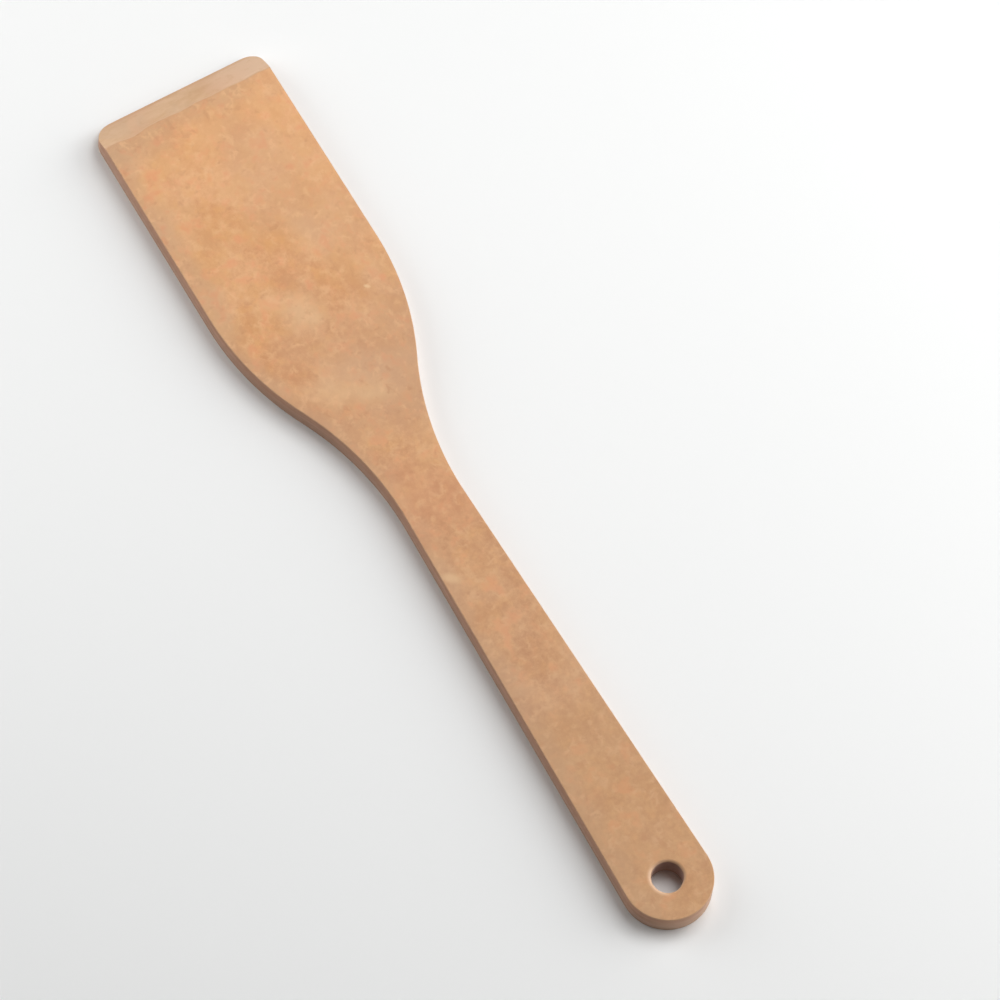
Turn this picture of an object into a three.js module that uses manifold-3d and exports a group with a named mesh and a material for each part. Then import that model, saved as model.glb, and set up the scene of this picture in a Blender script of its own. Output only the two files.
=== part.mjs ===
// Flat kitchen turner cut from one board of pressed, resin-bonded paper sheets.
// Millimetres, +Z up. +X runs along the turner from the handle's round end to the tip,
// and the origin lies under the middle of its length, on the surface that it rests on.

import * as THREE from 'three';
import { mergeVertices, toCreasedNormals } from 'three/addons/utils/BufferGeometryUtils.js';
import Module from 'manifold-3d';

// Board: equal sheets, pressed face to face
const SHEET_COUNT = 20;
const SHEET_THICKNESS = 0.4;

// Outline of the board, seen from above
const OVERALL_LENGTH = 320;
const TIP_WIDTH = 59.5; // across the straight tip, measured to its sharp corners
const LEFT_CORNER_RADIUS = 7.5; // tip's worn corner, on the side of +Y
const RIGHT_CORNER_RADIUS = 5;
const BLADE_LEAN = THREE.MathUtils.degToRad(0.3); // each side spreads from the tip backwards
const SHOULDER_RADIUS = 94; // full curve that leaves the blade's side
const NECK_RADIUS = 100; // hollow curve that runs into the handle
const NECK_WIDTH = 20.6; // handle's narrowest place, where the hollow curve ends
const HANDLE_LENGTH = 155; // from the round end to the narrowest place
const END_WIDTH = 28.6; // across the round end

// Hanging hole, concentric with the round end
const HOLE_DIAMETER = 10;

// Worked edges: both faces are eased, the hole's lips are rounder, and the tip is ground thin
const EDGE_RADIUS = 0.3;
const HOLE_LIP_RADIUS = 1;
const BEVEL_LENGTH = 10; // ground slope, measured along the turner
const BEVEL_CROWN = 0.6; // height of the slope's round over a straight slope
const TIP_THICKNESS = 1.5;

// Facets: the greatest height of an arc over its chord, and the flats on an eased edge
const ARC_HEIGHT = 0.03;
const EDGE_FLATS = 3;

// Finish: the outer sheets are pressed darker than the core that the bevel lays open
const OUTER_COLOUR = 0xd6a479;
const CORE_COLOUR = 0xd3ad88;
const CORE_SHADE_STEP = 0.02; // lightness between neighbouring core sheets
const CORE_SHADES = 3;
const OUTER_ROUGHNESS = 0.6;
const CORE_ROUGHNESS = 0.75;
const CREASE_ANGLE = THREE.MathUtils.degToRad(30);

// Values that follow from the sizes above
const BOARD_THICKNESS = SHEET_COUNT * SHEET_THICKNESS;
const END_X = -OVERALL_LENGTH / 2;
const TIP_X = OVERALL_LENGTH / 2;
const END_RADIUS = END_WIDTH / 2;
const END_CENTRE = new THREE.Vector2(END_X + END_RADIUS, 0);

const wasm = await Module();
wasm.setup();

// Direction of a flat vector, from -PI to PI
function heading(vector) {
  return Math.atan2(vector.y, vector.x);
}

// Flat vector of a given length and direction
function polar(length, angle) {
  return new THREE.Vector2(length * Math.cos(angle), length * Math.sin(angle));
}

// Number of chords that stay within ARC_HEIGHT of an arc
function chordCount(radius, sweep) {
  return Math.ceil(Math.abs(sweep) / (2 * Math.acos(1 - ARC_HEIGHT / radius)));
}

// Points along an arc, at the ends of its chords
function arcPoints(centre, radius, start, sweep) {
  const arc = new THREE.ArcCurve(centre.x, centre.y, radius, start, start + sweep, sweep < 0);
  return arc.getPoints(chordCount(radius, sweep));
}

// One side of the outline, from the tip to the middle of the round end
function sidePoints(cornerRadius) {
  // Handle: a straight side that touches the round end and meets the neck's curve
  const neck = new THREE.Vector2(END_X + HANDLE_LENGTH, NECK_WIDTH / 2);
  const endToNeck = neck.clone().sub(END_CENTRE);
  const handleNormal = heading(endToNeck) + Math.acos(END_RADIUS / endToNeck.length());
  const neckCentre = neck.clone().add(polar(NECK_RADIUS, handleNormal));

  // Blade: a straight side that leans out a little from the tip to the shoulder
  const corner = new THREE.Vector2(TIP_X, TIP_WIDTH / 2);
  const forward = polar(1, -BLADE_LEAN);
  const bladeNormal = Math.PI / 2 - BLADE_LEAN;
  const cornerCentre = corner.clone().sub(polar(cornerRadius, bladeNormal));
  cornerCentre.addScaledVector(forward, (TIP_X - cornerRadius - cornerCentre.x) / forward.x);

  // Shoulder: its arc touches the blade's side and the neck's arc, so its centre is the place
  // on a line beside the blade that lies both radii away from the neck's centre
  const shoulderCentre = corner.clone().sub(polar(SHOULDER_RADIUS, bladeNormal));
  const reach = SHOULDER_RADIUS + NECK_RADIUS;
  const fromNeck = shoulderCentre.clone().sub(neckCentre);
  const lead = fromNeck.dot(forward);
  const advance = Math.sqrt(reach ** 2 - fromNeck.lengthSq() + lead ** 2);
  shoulderCentre.addScaledVector(forward, advance - lead);
  const join = heading(neckCentre.clone().sub(shoulderCentre));

  return [
    ...arcPoints(cornerCentre, cornerRadius, 0, bladeNormal),
    ...arcPoints(shoulderCentre, SHOULDER_RADIUS, bladeNormal, join - bladeNormal),
    ...arcPoints(neckCentre, NECK_RADIUS, join + Math.PI, handleNormal - join).slice(1),
    ...arcPoints(END_CENTRE, END_RADIUS, handleNormal, Math.PI - handleNormal),
  ];
}

// Whole outline, without the hanging hole
function boardShape() {
  const left = sidePoints(LEFT_CORNER_RADIUS);
  const right = sidePoints(RIGHT_CORNER_RADIUS).map(({ x, y }) => new THREE.Vector2(x, -y));
  return new THREE.Shape([...left, ...right.slice(0, -1).reverse()]);
}

// Closed geometry to a solid that can be cut; triangles that close to a line are left out
function solidFrom(geometry) {
  geometry.deleteAttribute('normal');
  geometry.deleteAttribute('uv');
  const merged = mergeVertices(geometry);
  const vertProperties = merged.attributes.position.array;
  const corners = Array.from(merged.index.array);
  const triangles = [];
  for (let first = 0; first < corners.length; first += 3) {
    const triangle = corners.slice(first, first + 3);
    if (new Set(triangle).size === 3) triangles.push(...triangle);
  }
  const triVerts = Uint32Array.from(triangles);
  return new wasm.Manifold(new wasm.Mesh({ numProp: 3, vertProperties, triVerts }));
}

// Cut solid back to a geometry, smooth along its curves and sharp at its edges
function geometryFrom(solid) {
  const mesh = solid.getMesh();
  const geometry = new THREE.BufferGeometry();
  geometry.setAttribute('position', new THREE.BufferAttribute(mesh.vertProperties, 3));
  geometry.setIndex(new THREE.BufferAttribute(mesh.triVerts, 1));
  return toCreasedNormals(geometry, CREASE_ANGLE);
}

// Pressed board with eased edges, before its tip is ground
function boardSolid() {
  const board = new THREE.ExtrudeGeometry(boardShape(), {
    depth: BOARD_THICKNESS - 2 * EDGE_RADIUS,
    bevelThickness: EDGE_RADIUS,
    bevelSize: EDGE_RADIUS,
    bevelOffset: -EDGE_RADIUS,
    bevelSegments: EDGE_FLATS,
  });
  return solidFrom(board.translate(0, 0, EDGE_RADIUS));
}

// Drill for the hanging hole, flared at both faces to the hole's rounded lips
function holeDrill() {
  const radius = HOLE_DIAMETER / 2;
  const wide = radius + HOLE_LIP_RADIUS;
  const past = HOLE_LIP_RADIUS;
  const lowLip = new THREE.Vector2(wide, HOLE_LIP_RADIUS);
  const highLip = new THREE.Vector2(wide, BOARD_THICKNESS - HOLE_LIP_RADIUS);
  const profile = [
    new THREE.Vector2(0, -past),
    new THREE.Vector2(wide, -past),
    ...arcPoints(lowLip, HOLE_LIP_RADIUS, -Math.PI / 2, -Math.PI / 2),
    ...arcPoints(highLip, HOLE_LIP_RADIUS, Math.PI, -Math.PI / 2),
    new THREE.Vector2(wide, BOARD_THICKNESS + past),
    new THREE.Vector2(0, BOARD_THICKNESS + past),
  ];
  const drill = new THREE.LatheGeometry(profile, chordCount(radius, 2 * Math.PI));
  return solidFrom(drill.rotateX(Math.PI / 2).translate(END_CENTRE.x, END_CENTRE.y, 0));
}

// What grinding takes off the upper face at the tip: all that lies outside a wide round, which
// rises clear of the board behind the slope and falls below it beyond the tip
function groundWedge() {
  const slopeTop = new THREE.Vector2(TIP_X - BEVEL_LENGTH, BOARD_THICKNESS);
  const slope = new THREE.Vector2(BEVEL_LENGTH, TIP_THICKNESS - BOARD_THICKNESS);
  const radius = (slope.lengthSq() / 4 + BEVEL_CROWN ** 2) / (2 * BEVEL_CROWN);
  const centre = slopeTop.clone().addScaledVector(slope, 0.5);
  centre.add(polar(radius - BEVEL_CROWN, heading(slope) - Math.PI / 2));
  const top = centre.y + radius + BOARD_THICKNESS;
  const profile = new THREE.Shape([
    ...arcPoints(centre, radius, Math.PI / 2, -Math.PI / 2),
    new THREE.Vector2(centre.x + radius, top),
    new THREE.Vector2(centre.x, top),
  ]);
  const width = 2 * TIP_WIDTH;
  const wedge = new THREE.ExtrudeGeometry(profile, { depth: width, bevelEnabled: false });
  return solidFrom(wedge.rotateX(Math.PI / 2).translate(0, width / 2, 0));
}

// Slab that holds one sheet of the stack; the outer two reach past the board's faces
function sheetSlab(index) {
  const past = SHEET_THICKNESS;
  const low = index === 0 ? -past : index * SHEET_THICKNESS;
  const high = index === SHEET_COUNT - 1 ? BOARD_THICKNESS + past : (index + 1) * SHEET_THICKNESS;
  const slab = new THREE.BoxGeometry(2 * OVERALL_LENGTH, 2 * OVERALL_LENGTH, high - low);
  return solidFrom(slab.translate(0, 0, (low + high) / 2));
}

// Sheets are numbered from the back upwards
function sheetName(index) {
  if (index === 0) return 'back_sheet';
  if (index === SHEET_COUNT - 1) return 'face_sheet';
  return `core_sheet_${String(index).padStart(2, '0')}`;
}

function sheetMaterial(index) {
  const outer = index === 0 || index === SHEET_COUNT - 1;
  const shade = (index % CORE_SHADES) * CORE_SHADE_STEP;
  const colour = outer
    ? new THREE.Color(OUTER_COLOUR)
    : new THREE.Color(CORE_COLOUR).offsetHSL(0, 0, -shade);
  const roughness = outer ? OUTER_ROUGHNESS : CORE_ROUGHNESS;
  return new THREE.MeshStandardMaterial({ color: colour, roughness, metalness: 0 });
}

// The finished board, parted into the sheets that it is pressed from
const turner = new THREE.Group();
const board = boardSolid().subtract(holeDrill()).subtract(groundWedge());
for (let index = 0; index < SHEET_COUNT; index += 1) {
  const geometry = geometryFrom(board.intersect(sheetSlab(index)));
  const sheet = new THREE.Mesh(geometry, sheetMaterial(index));
  sheet.name = sheetName(index);
  turner.add(sheet);
}

export default turner;
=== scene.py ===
import math

import bmesh
import bpy
from mathutils import Matrix, Vector, noise


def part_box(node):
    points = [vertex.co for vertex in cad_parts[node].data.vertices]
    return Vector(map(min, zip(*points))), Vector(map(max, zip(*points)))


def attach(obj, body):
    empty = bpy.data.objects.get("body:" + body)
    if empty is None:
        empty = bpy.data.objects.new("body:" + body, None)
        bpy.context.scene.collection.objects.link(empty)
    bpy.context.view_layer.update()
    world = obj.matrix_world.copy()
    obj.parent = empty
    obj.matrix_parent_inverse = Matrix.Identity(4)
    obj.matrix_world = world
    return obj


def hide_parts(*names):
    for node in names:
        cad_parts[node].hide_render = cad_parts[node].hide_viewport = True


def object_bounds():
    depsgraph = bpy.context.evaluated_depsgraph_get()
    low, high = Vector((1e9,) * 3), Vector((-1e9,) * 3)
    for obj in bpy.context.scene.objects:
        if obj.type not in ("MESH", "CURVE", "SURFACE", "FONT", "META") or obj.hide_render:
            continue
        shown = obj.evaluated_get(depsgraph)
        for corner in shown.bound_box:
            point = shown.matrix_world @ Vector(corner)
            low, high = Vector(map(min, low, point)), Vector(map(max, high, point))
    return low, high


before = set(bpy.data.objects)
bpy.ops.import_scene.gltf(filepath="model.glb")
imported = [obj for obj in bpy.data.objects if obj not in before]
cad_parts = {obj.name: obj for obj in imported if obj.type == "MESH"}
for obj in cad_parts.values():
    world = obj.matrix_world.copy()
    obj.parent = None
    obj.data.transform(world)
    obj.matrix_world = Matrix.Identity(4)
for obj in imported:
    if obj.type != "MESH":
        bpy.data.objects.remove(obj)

cad_low, cad_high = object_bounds()

# Pressed board
# The turner is one board of paper sheets, soaked in resin, stacked and pressed hard under heat.
# It is sawn to its outline and drilled for hanging, then every edge is eased and the tip ground thin.
thickness = cad_high.z
tip_x = cad_high.x
end_x = cad_low.x
tip_width = 0.0595
left_corner_radius = 0.0075
right_corner_radius = 0.005
blade_lean = math.radians(0.3)
shoulder_radius = 0.094
neck_radius = 0.100
neck_width = 0.0206
handle_length = 0.155
end_radius = 0.0143
hole_radius = 0.005
edge_radius = 0.0003
hole_lip_radius = 0.001
bevel_length = 0.010
bevel_crown = 0.0006
tip_thickness = 0.0015
arc_height = 0.00001
edge_segments = 4
lip_segments = 6
crease_angle = math.radians(25)
cut_tolerance = 1e-7
weld_distance = 1e-6


def polar(length, angle):
    """Flat vector of a given length and direction."""
    return Vector((math.cos(angle), math.sin(angle), 0)) * length


def heading(vector):
    """Direction of a flat vector."""
    return math.atan2(vector.y, vector.x)


def saw_line(mesh, end, point):
    """Carries the sawn line on from its end, straight to a point."""
    new_end = bmesh.ops.extrude_vert_indiv(mesh, verts=[end])["verts"][0]
    new_end.co = point
    return new_end


def saw_arc(mesh, end, centre, sweep):
    """Carries the sawn line on from its end, round a centre."""
    step = 2 * math.acos(1 - arc_height / (end.co - centre).length)
    made = bmesh.ops.spin(
        mesh,
        geom=[end],
        cent=centre,
        axis=(0, 0, 1),
        angle=sweep,
        steps=math.ceil(abs(sweep) / step),
    )
    return next(v for v in made["geom_last"] if isinstance(v, bmesh.types.BMVert))


def whole(mesh):
    """All of a mesh, as the cutting operators take it."""
    return mesh.verts[:] + mesh.edges[:] + mesh.faces[:]


def cut_off(mesh, point, outward):
    """Cuts away what lies beyond a plane, closes the cut and gives its new faces."""
    bmesh.ops.bisect_plane(
        mesh,
        geom=whole(mesh),
        dist=cut_tolerance,
        plane_co=point,
        plane_no=outward,
        clear_outer=True,
    )
    open_edges = [edge for edge in mesh.edges if edge.is_boundary]
    return bmesh.ops.holes_fill(mesh, edges=open_edges, sides=0)["faces"]


# Handle: a straight side that touches the round end and meets the hollow of the neck
neck = Vector((end_x + handle_length, neck_width / 2, 0))
end_centre = Vector((end_x + end_radius, 0, 0))
end_to_neck = neck - end_centre
handle_normal = heading(end_to_neck) + math.acos(end_radius / end_to_neck.length)
neck_centre = neck + polar(neck_radius, handle_normal)

# Blade: a straight side that leans out a little from the tip's corner to the shoulder
corner = Vector((tip_x, tip_width / 2, 0))
forward = polar(1, -blade_lean)
blade_normal = math.pi / 2 - blade_lean

# Shoulder: its round touches the blade's side and the neck's hollow
shoulder_centre = corner - polar(shoulder_radius, blade_normal)
from_neck = shoulder_centre - neck_centre
lead = from_neck.dot(forward)
reach = shoulder_radius + neck_radius
shoulder_centre += forward * (math.sqrt(reach**2 - from_neck.length_squared + lead**2) - lead)
join = heading(neck_centre - shoulder_centre)


def sawn_half(corner_radius):
    """Half of the board, sawn from the tip's middle round to the hole and closed along the middle."""
    corner_centre = corner - polar(corner_radius, blade_normal)
    corner_centre += forward * ((tip_x - corner_radius - corner_centre.x) / forward.x)
    half = bmesh.new()
    start = half.verts.new((tip_x, 0, 0))
    end = saw_line(half, start, (tip_x, corner_centre.y, 0))
    end = saw_arc(half, end, corner_centre, blade_normal)
    end = saw_line(half, end, shoulder_centre + polar(shoulder_radius, blade_normal))
    end = saw_arc(half, end, shoulder_centre, join - blade_normal)
    end = saw_arc(half, end, neck_centre, handle_normal - join)
    end = saw_line(half, end, end_centre + polar(end_radius, handle_normal))
    end = saw_arc(half, end, end_centre, math.pi - handle_normal)
    end = saw_line(half, end, end_centre - Vector((hole_radius, 0, 0)))
    end = saw_arc(half, end, end_centre, -math.pi)
    bmesh.ops.contextual_create(half, geom=[end, start])
    bmesh.ops.contextual_create(half, geom=half.edges[:])
    raised = bmesh.ops.extrude_face_region(half, geom=half.faces[:])["geom"]
    raised_verts = [v for v in raised if isinstance(v, bmesh.types.BMVert)]
    bmesh.ops.translate(half, verts=raised_verts, vec=(0, 0, thickness))
    bmesh.ops.recalc_face_normals(half, faces=half.faces[:])
    return half


def ease(mesh, edges, radius, segments):
    """Rounds edges over."""
    bmesh.ops.bevel(
        mesh,
        geom=edges,
        offset=radius,
        segments=segments,
        profile=0.5,
        affect="EDGES",
        material=-1,
    )


def ease_rim(half):
    """Eases the edges of both faces, and rounds the lips of the hole further."""
    rim = [
        edge
        for edge in half.edges
        if max(v.co.y for v in edge.verts) > weld_distance
        and any(abs(face.normal.z) > 0.5 for face in edge.link_faces)
    ]
    lips = [
        edge
        for edge in rim
        if all((v.co.xy - end_centre.xy).length < hole_radius * 1.1 for v in edge.verts)
    ]
    ease(half, list(set(rim) - set(lips)), edge_radius, edge_segments)
    ease(half, [edge for edge in lips if edge.is_valid], hole_lip_radius, lip_segments)


# Ground slope at the tip: a wide round, cut in narrow flats from its top down to the tip
slope_top = Vector((tip_x - bevel_length, 0, thickness))
slope = Vector((bevel_length, 0, tip_thickness - thickness))
round_radius = (slope.length_squared / 4 + bevel_crown**2) / (2 * bevel_crown)
inward = Vector((slope.z, 0, -slope.x)).normalized()
round_centre = slope_top + slope / 2 + inward * (round_radius - bevel_crown)
round_sweep = (slope_top - round_centre).angle(slope_top + slope - round_centre)
round_flats = 8
station_count = 19
station_step = 0.0015
waver_size = 0.0009
wavers_in_metre = 80
waver_row = 3.7


def grind_tip(half, side):
    """Grinds the slope, then lets its upper line waver a little, as a hand held to a belt does."""
    for flat in range(round_flats + 1):
        turn = Matrix.Rotation(round_sweep * flat / round_flats, 3, "Y")
        outward = turn @ (slope_top - round_centre)
        cut_off(half, round_centre + outward, outward)
    bmesh.ops.recalc_face_normals(half, faces=half.faces[:])
    ground = set()
    for face in half.faces:
        if face.normal.x > 0.2 and face.normal.z > 0.5:
            ground.update([face], face.edges, face.verts)
    for station in range(1, station_count + 1):
        made = bmesh.ops.bisect_plane(
            half,
            geom=list(ground),
            dist=cut_tolerance,
            plane_co=(0, side * station * station_step, 0),
            plane_no=(0, 1, 0),
        )
        ground = set(made["geom"])
    for v in ground:
        if isinstance(v, bmesh.types.BMVert):
            up_slope = (v.co.z - tip_thickness) / (thickness - tip_thickness)
            waver_place = (v.co.y * wavers_in_metre, waver_row, 0)
            v.co.x += waver_size * up_slope * noise.fractal(waver_place, 1.0, 2.2, 3)


left_half = sawn_half(left_corner_radius)
right_half = sawn_half(right_corner_radius)
for half in (left_half, right_half):
    ease_rim(half)
bmesh.ops.scale(right_half, verts=right_half.verts[:], vec=(1, -1, 1))
grind_tip(left_half, 1)
grind_tip(right_half, -1)


def paper_sheet(name, node, material):
    """One sheet of the board, parted from its neighbours where the frame parts them."""
    low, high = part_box(node)
    mesh = bpy.data.meshes.new(name)
    sheet = bmesh.new()
    for half in (left_half, right_half):
        part = half.copy()
        if low.z > edge_radius / 10:
            cut_off(part, low, (0, 0, -1))
        if high.z < thickness - edge_radius / 10:
            cut_off(part, high, (0, 0, 1))
        middle = [face for face in part.faces if max(abs(v.co.y) for v in face.verts) < cut_tolerance]
        bmesh.ops.delete(part, geom=middle, context="FACES")
        part.to_mesh(mesh)
        part.free()
        sheet.from_mesh(mesh)
    bmesh.ops.remove_doubles(sheet, verts=sheet.verts[:], dist=weld_distance)
    bmesh.ops.recalc_face_normals(sheet, faces=sheet.faces[:])
    for face in sheet.faces:
        face.smooth = True
    for edge in sheet.edges:
        edge.smooth = edge.calc_face_angle(0) < crease_angle
    sheet.to_mesh(mesh)
    sheet.free()
    mesh.materials.append(material)
    piece = bpy.data.objects.new(name, mesh)
    bpy.context.scene.collection.objects.link(piece)
    even = piece.modifiers.new("even normals", "WEIGHTED_NORMAL")
    even.keep_sharp = True
    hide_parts(node)
    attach(piece, "root")
    return piece


# Back sheet
# The lowest sheet is brown kraft paper, pressed smooth against a steel plate.
# Cured resin holds it to the core, and its edge is eased with the board's lower edge.


class Signal:
    """One output in a material's node tree; arithmetic on it adds Math nodes."""

    def __init__(self, tree, socket=None):
        self.tree = tree
        self.socket = socket

    def node(self, kind, settings, inputs, output=0):
        made = self.tree.nodes.new(kind)
        for name, value in settings.items():
            setattr(made, name, value)
        for name, value in inputs.items():
            if isinstance(value, Signal):
                self.tree.links.new(value.socket, made.inputs[name])
            else:
                made.inputs[name].default_value = value
        return Signal(self.tree, made.outputs[output])

    def math(self, operation, *values):
        return self.node("ShaderNodeMath", {"operation": operation}, dict(enumerate(values)))

    def __add__(self, other):
        return self.math("ADD", self, other)

    def __sub__(self, other):
        return self.math("SUBTRACT", self, other)

    def __rsub__(self, other):
        return self.math("SUBTRACT", other, self)

    def __mul__(self, other):
        return self.math("MULTIPLY", self, other)

    def __abs__(self):
        return self.math("ABSOLUTE", self)

    __radd__ = __add__
    __rmul__ = __mul__

    def between(self, low, high):
        """Rises smoothly from 0 to 1 as the value goes from low to high."""
        return self.node(
            "ShaderNodeMapRange",
            {"interpolation_type": "SMOOTHSTEP"},
            {"Value": self, "From Min": low, "From Max": high},
        )

    def noise(self, scale, detail, roughness=0.5, distortion=0.0):
        """Cloudy pattern on these coordinates; scale counts its clouds in a metre."""
        inputs = {"Scale": scale, "Detail": detail, "Roughness": roughness}
        inputs |= {"Vector": self, "Distortion": distortion}
        return self.node("ShaderNodeTexNoise", {}, inputs)

    def distance(self, point):
        """How far these coordinates lie from a point."""
        settings = {"operation": "DISTANCE"}
        return self.node("ShaderNodeVectorMath", settings, {0: self, 1: point}, "Value")

    def part(self, axis):
        """One part of these coordinates: X, Y or Z."""
        return self.node("ShaderNodeSeparateXYZ", {}, {"Vector": self}, axis)

    def mix(self, first, second, amount):
        """Goes from the first colour to the second as the amount goes from 0 to 1."""
        first_socket, second_socket, mixed_socket = 6, 7, 2
        inputs = {"Factor": amount, first_socket: first, second_socket: second}
        return self.node("ShaderNodeMix", {"data_type": "RGBA"}, inputs, mixed_socket)

    def tint(self, colour, amount):
        """This colour, turned towards another by an amount."""
        return self.mix(self, colour, amount)

    def feed(self, shader, name):
        """Links this output to one of a shader's inputs."""
        self.tree.links.new(self.socket, shader.inputs[name])


def shade(red, green, blue):
    """Colour from its red, green and blue on the usual scale to 255."""
    parts = [channel / 255 for channel in (red, green, blue)]
    return [((part + 0.055) / 1.055) ** 2.4 for part in parts] + [1]


def new_material(name):
    """Empty node material: its coordinates, and its shader."""
    material = bpy.data.materials.new(name)
    material.use_nodes = True
    tree = material.node_tree
    shader = tree.nodes["Principled BSDF"]
    place = Signal(tree).node("ShaderNodeTexCoord", {}, {}, "Object")
    return material, place, shader


def fine_relief(place, height):
    """Normal of a surface that is rough by less than a tenth of a millimetre."""
    inputs = {"Strength": 0.12, "Distance": 0.0001, "Height": height}
    return place.node("ShaderNodeBump", {}, inputs)


face_paper, place, shader = new_material("pressed_face_paper")
along = place.part("X")
across = place.part("Y")

normal = place.node("ShaderNodeNewGeometry", {}, {}, "Normal")
facing = abs(normal.part("Z"))
sanded = 1 - facing.between(0.90, 0.985)

# Mottling of the paper, from its fine grain to patches a few centimetres wide
grain = place.noise(150, 5, 0.8).between(0.33, 0.67)
fine_grain = place.noise(480, 4, 0.7).between(0.36, 0.64)
clouds = place.noise(72, 1).between(0.35, 0.65)
ochre_zones = place.noise(85, 3).between(0.42, 0.62)
red_blotches = place.noise(150, 2).between(0.54, 0.72)
red_flecks = place.noise(300, 3, 0.6, 0.3).between(0.48, 0.72)
ochre_flecks = place.noise(240, 3).between(0.50, 0.68)
cream_patches = place.noise(34, 2).between(0.58, 0.76)
dull_patches = place.noise(27, 2, 0.5, 0.3).between(0.48, 0.66)
fibre_lines = 1 - abs(place.noise(210, 3, 0.6, 0.2) - 0.5).between(0.0, 0.10)
fibres = fibre_lines * place.noise(260, 1).between(0.46, 0.68)
dull_flecks = place.noise(330, 2, 0.5, 0.4).between(0.58, 0.76)

# Worn zones before the ground slope and over the shoulders; painted shade along the edge away from the
# lamps, and a painted highlight on the hole's lip;
# the neck is redder, the handle's end browner, and the blade paler on its side towards the lamps, as
# painted light
drift = place.noise(50, 3) - 0.5
half_width = 0.0115 + 0.0180 * along.between(0.005, 0.075)
# Painted shade: the face darker along the edge that is turned away from the lamps
painted_edge_shade = 1 - (half_width - across + 0.015 * drift).between(0.0, 0.008)
worn_slope = (along + 0.15 * across + 0.03 * drift).between(0.137, 0.149)
shoulder_end = 1 - (along + 0.5 * across + 0.04 * drift).between(0.035, 0.070)
worn_shoulder = (along + 0.04 * drift).between(0.015, 0.035) * shoulder_end
neck_end = 1 - (along + 0.04 * drift).between(0.0, 0.016)
red_neck = (along + 0.04 * drift).between(-0.025, -0.008) * neck_end
# Painted light: the blade paler on its side towards the lamps
painted_lit_side = (along - across).between(0.085, 0.150)
brown_end = 1 - (along + 0.04 * drift).between(-0.092, -0.074)
lip = 1 - place.distance((end_centre.x, 0, thickness)).between(0.0056, 0.0067)
# Painted highlight: a pale crescent on the part of the hole's lip that is turned towards the lamps
painted_lip_highlight = lip * across.between(0.0010, 0.0045)


def pale_smear(x, y, size):
    """1 at a place where the fibres lie open in a slanting smear, falling to 0 round it."""
    slant_x, slant_y = 0.62, 0.79
    narrowness = 2
    smear_length = slant_x * (along - x) + slant_y * (across - y)
    smear_width = narrowness * slant_x * (across - y) - narrowness * slant_y * (along - x)
    reach = place.math("SQRT", smear_length * smear_length + smear_width * smear_width)
    return 1 - ((1 / size) * reach + 0.04 * drift).between(0.002, 0.016)


# Colours: duller on the handle, clearer and warmer towards the tip of the blade
on_blade = along.between(-0.10, 0.15)
deep = place.mix(shade(181, 131, 93), shade(203, 144, 96), on_blade)
pale = place.mix(shade(201, 156, 117), shade(222, 171, 125), on_blade)
thin = place.mix(shade(209, 166, 128), shade(228, 181, 137), on_blade)
cloudiness = (0.26 + 0.24 * on_blade) * (clouds - 0.4)
graininess = (0.70 + 0.20 * on_blade) * grain + (0.34 - 0.26 * on_blade) * fine_grain
colour = place.mix(deep, pale, graininess + 0.01 + cloudiness)
colour = colour.tint(shade(213, 161, 102), ochre_zones * (0.10 + 0.22 * on_blade))
colour = colour.tint(shade(220, 138, 96), red_blotches * (0.22 + 0.17 * on_blade))
colour = colour.tint(shade(217, 160, 99), ochre_flecks * (0.10 + 0.22 * on_blade))
# Painted light on the side of the blade towards the lamps
colour = colour.tint(shade(226, 172, 124), painted_lit_side * 0.30)
colour = colour.tint(shade(211, 170, 132), cream_patches * 0.45)
colour = colour.tint(shade(196, 155, 121), dull_patches * (0.15 + 0.20 * on_blade))
# Painted shade along the edge away from the lamps
colour = colour.tint(shade(188, 151, 119), painted_edge_shade * 0.45)
colour = colour.tint(shade(184, 149, 117), worn_slope * 0.50)
colour = colour.tint(shade(187, 143, 110), worn_shoulder * (0.56 - 0.14 * grain))
colour = colour.tint(shade(204, 142, 104), red_neck * 0.30)
colour = colour.tint(shade(188, 145, 92), brown_end * 0.18)
colour = colour.tint(shade(214, 136, 94), red_flecks * (0.10 + 0.16 * on_blade))

# Pale smears: place along and across, size and strength
for x, y, size, strength in (
    (0.0690, 0.0025, 1.1, 0.50),
    (0.0380, 0.0005, 1.3, 0.50),
    (0.0700, -0.0186, 0.08, 0.80),
    (-0.0282, 0.0085, 0.3, 0.50),
):
    colour = colour.tint(shade(224, 187, 144), pale_smear(x, y, size) * strength)

# Single fibres, dark flecks, what sanding has laid bare at the edges, and a painted highlight on the
# hole's lip
colour = colour.tint(thin, fibres * (0.50 - 0.08 * on_blade))
colour = colour.tint(shade(176, 120, 80), dull_flecks * (0.25 + 0.12 * worn_shoulder))
colour = colour.tint(shade(197, 158, 125), sanded * 0.85)
colour = colour.tint(shade(211, 172, 138), sanded * along.between(0.147, 0.149) * 0.90)
# Painted highlight on the hole's lip, where it turns towards the lamps
colour = colour.tint(shade(230, 194, 162), painted_lip_highlight * 0.60)
colour.feed(shader, "Base Color")

roughness = 0.52 + 0.10 * grain + 0.08 * fibres
roughness.feed(shader, "Roughness")
shader.inputs["Specular IOR Level"].default_value = 0.30

relief = 0.5 * fibres + place.noise(700, 3)
fine_relief(place, relief).feed(shader, "Normal")

back_sheet = paper_sheet("back_paper", "back_sheet", face_paper)

# Core sheets
# Eighteen sheets of paler kraft paper fill the board between its two faces.
# Their cut edges make the sides, the hole's wall and the streaked slope of the ground tip.
core_paper, place, shader = new_material("core_paper")


def stretched(place, scale):
    """Coordinates drawn out along the sheets, so that a pattern lies in layers."""
    return place.node("ShaderNodeMapping", {}, {"Vector": place, "Scale": scale})


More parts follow.
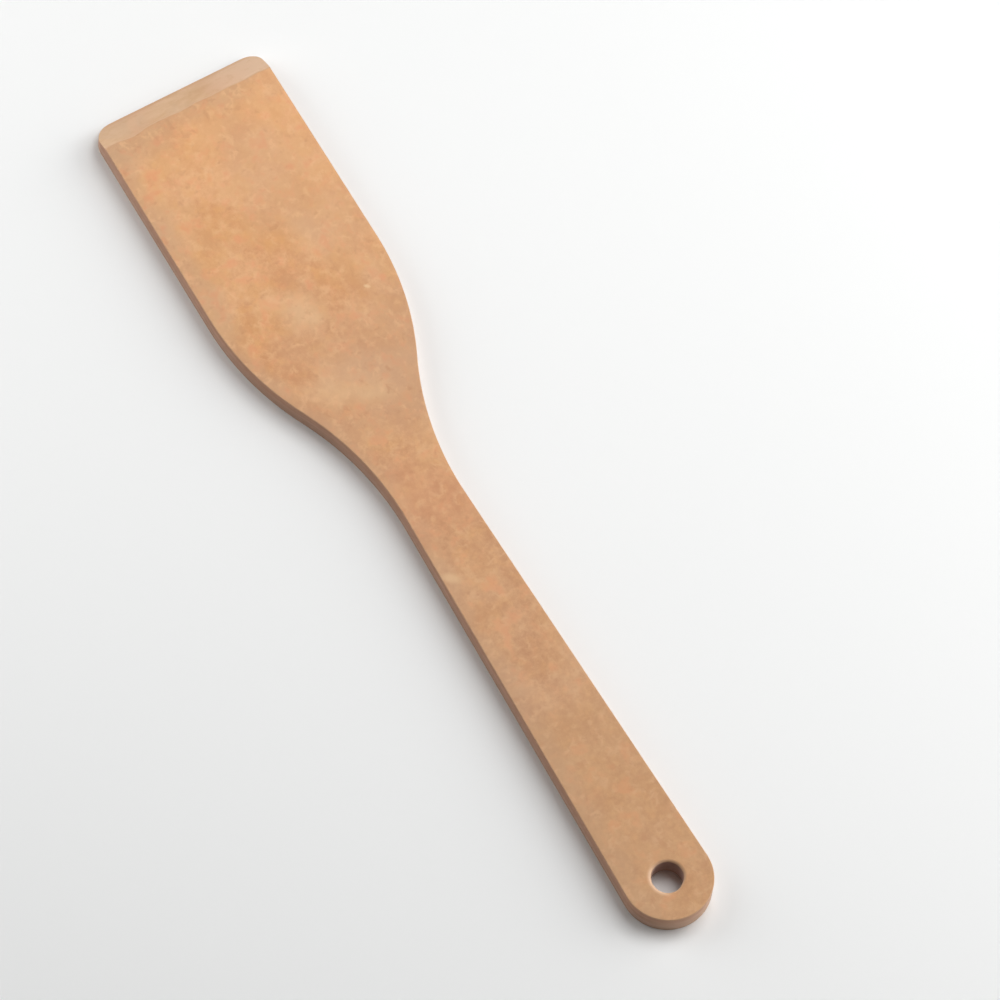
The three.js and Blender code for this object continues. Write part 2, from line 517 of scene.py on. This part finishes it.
normal = place.node("ShaderNodeNewGeometry", {}, {}, "Normal")
upward = normal.part("Z")
layers = stretched(place, (24, 24, 420)).noise(1, 2).between(0.36, 0.64)
smears = stretched(place, (150, 60, 150)).noise(1, 4, 0.6, 0.8).between(0.34, 0.66)
pink_zones = place.noise(45, 2).between(0.42, 0.60)
grey_zones = place.noise(62, 3, 0.5, 0.5).between(0.50, 0.62)
scuffs = place.noise(420, 2).between(0.52, 0.72)
along = place.part("X")
across = place.part("Y")
height = place.part("Z")

# Places: the slope's paler end, its edge, the round end, the side in the light, and the hole's wall in
# painted shade
bleached_end = 1 - across.between(-0.024, -0.006)
tip_edge = along.between(0.1584, 0.1596)
sawn_end = 1 - along.between(-0.160, -0.152)
faded_side = 1 - across.between(-0.0100, -0.0085)
# Painted shade: the wall of the hole
painted_hole_shade = 1 - place.distance((end_centre.x, 0, thickness / 2)).between(0.0065, 0.0090)

# Colours of the sawn sides, then of the ground slope
sawn = place.mix(shade(172, 131, 108), shade(187, 147, 125), layers)
sawn = sawn.tint(shade(160, 115, 88), scuffs * 0.30)
sawn = sawn.tint(shade(214, 176, 148), sawn_end * 0.50)
sawn = sawn.tint(shade(168, 116, 84), height.between(0.004, 0.007) * 0.45)
sawn = sawn.tint(shade(190, 160, 137), (1 - height.between(0.001, 0.005)) * 0.40)
sawn = sawn.tint(shade(172, 160, 151), faded_side * 0.50)
# Painted shade: the hole's wall darker and greyer
sawn = sawn.tint(shade(150, 130, 128), painted_hole_shade * 0.50)

slope_paper = place.mix(shade(202, 161, 123), shade(214, 177, 142), smears)
slope_paper = slope_paper.tint(shade(213, 168, 138), pink_zones * 0.50)
slope_paper = slope_paper.tint(shade(201, 168, 138), grey_zones * 0.40)
slope_paper = slope_paper.tint(shade(220, 186, 157), bleached_end * 0.70)
slope_paper = slope_paper.tint(shade(194, 150, 110), scuffs * 0.22)
slope_paper = slope_paper.tint(shade(190, 142, 104), tip_edge * 0.40)
colour = place.mix(sawn, slope_paper, upward.between(0.25, 0.55))
colour.feed(shader, "Base Color")
roughness = 0.62 + 0.10 * smears
roughness.feed(shader, "Roughness")
shader.inputs["Specular IOR Level"].default_value = 0.30
relief = 0.7 * layers + 0.3 * place.noise(900, 2)
fine_relief(place, relief).feed(shader, "Normal")

for number in range(1, 19):
    core_sheet = paper_sheet(f"core_paper_{number:02d}", f"core_sheet_{number:02d}", core_paper)

# Face sheet
# The upper sheet is the same smooth brown kraft paper as the back, and closes the stack.
# Its edge is eased all round and at the hole, and the grinding of the tip starts on it.
face_sheet = paper_sheet("face_paper", "face_sheet", face_paper)
left_half.free()
right_half.free()

# Floor
# A plain pale table top that the turner lies on, far wider than the view.
# It is no part of the object, takes its shadow, and looks pale also where the lamps do not reach.


def in_view(signal):
    """1 for rays that are seen, straight, mirrored or through glass, and 0 for those that only light."""
    seen = signal.node("ShaderNodeLightPath", {}, {}, "Is Camera Ray")
    for kind in ("Is Glossy Ray", "Is Transmission Ray"):
        seen = seen.math("MAXIMUM", seen, signal.node("ShaderNodeLightPath", {}, {}, kind))
    return seen


floor_material, place, shader = new_material("pale_floor")
shader.inputs["Base Color"].default_value = (0.88, 0.885, 0.88, 1)
shader.inputs["Roughness"].default_value = 0.9
shader.inputs["Specular IOR Level"].default_value = 0.1
shader.inputs["Emission Strength"].default_value = 1
lit_reach = 0.25
dark_reach = 1.2
unlit = place.distance((0, 0, 0)).between(lit_reach, dark_reach) * in_view(place)
paleness = place.mix((0, 0, 0, 1), (0.75, 0.75, 0.75, 1), unlit)
paleness.feed(shader, "Emission Color")
floor_reach = 4
floor_bmesh = bmesh.new()
bmesh.ops.create_grid(floor_bmesh, x_segments=1, y_segments=1, size=floor_reach)
floor_mesh = bpy.data.meshes.new("floor")
floor_bmesh.to_mesh(floor_mesh)
floor_bmesh.free()
floor_mesh.materials.append(floor_material)
floor = bpy.data.objects.new("floor", floor_mesh)
bpy.context.scene.collection.objects.link(floor)

# Light
# Soft square lamps stand low along one side of the turner, high over it and close beyond its tip.
# The room around is pale where it is seen or mirrored, and adds hardly any light of its own.
world = bpy.data.worlds.new("pale_room")
world.use_nodes = True
room = world.node_tree.nodes["Background"]
room.inputs["Color"].default_value = (1, 1, 1, 1)
room_light = 0.01
room_paleness = 0.91
strength = room_light + room_paleness * in_view(Signal(world.node_tree))
strength.feed(room, "Strength")
bpy.context.scene.world = world


def soft_lamp(name, side, height, distance, spread, energy):
    """Square lamp, turned to the turner from a side and a height in degrees."""
    data = bpy.data.lights.new(name, "AREA")
    data.size = spread * distance
    data.energy = energy
    lamp = bpy.data.objects.new(name, data)
    lamp.location = polar(math.cos(math.radians(height)), math.radians(side))
    lamp.location.z = math.sin(math.radians(height))
    lamp.location *= distance
    lamp.rotation_mode = "QUATERNION"
    lamp.rotation_quaternion = lamp.location.to_track_quat("Z", "Y")
    bpy.context.scene.collection.objects.link(lamp)


soft_lamp("handle_lamp", side=230, height=25, distance=1.1, spread=0.83, energy=4.45)
soft_lamp("side_lamp", side=260, height=25, distance=1.1, spread=0.83, energy=7.45)
soft_lamp("high_lamp", side=290, height=65, distance=1.1, spread=0.60, energy=6.5)
soft_lamp("tip_lamp", side=40, height=30, distance=0.7, spread=0.83, energy=2.5)

# Camera
# A long lens looks down on the turner from above its handle end, turned a little in the hand.
# Its place was fitted to the outline of the turner.
elevation = math.radians(65.868)
azimuth = math.radians(231.772)
roll = math.radians(8.719)
camera_distance = 3.0983
target = Vector((-0.01008, -0.02051, 0))
back = Vector(
    (
        math.cos(elevation) * math.sin(azimuth),
        -math.cos(elevation) * math.cos(azimuth),
        math.sin(elevation),
    )
)
right = Vector((math.cos(azimuth), math.sin(azimuth), 0))
up = back.cross(right)
picture_right = right * math.cos(roll) + up * math.sin(roll)
picture_up = up * math.cos(roll) - right * math.sin(roll)
camera_data = bpy.data.cameras.new("camera")
camera_data.sensor_width = 36
camera_data.lens = 360
camera_data.clip_end = 20
camera = bpy.data.objects.new("camera", camera_data)
camera.matrix_world = Matrix.Translation(target + back * camera_distance) @ Matrix(
    (picture_right, picture_up, back)
).transposed().to_4x4()
bpy.context.scene.collection.objects.link(camera)
bpy.context.scene.camera = camera
bpy.context.scene.view_settings.view_transform = "Standard"
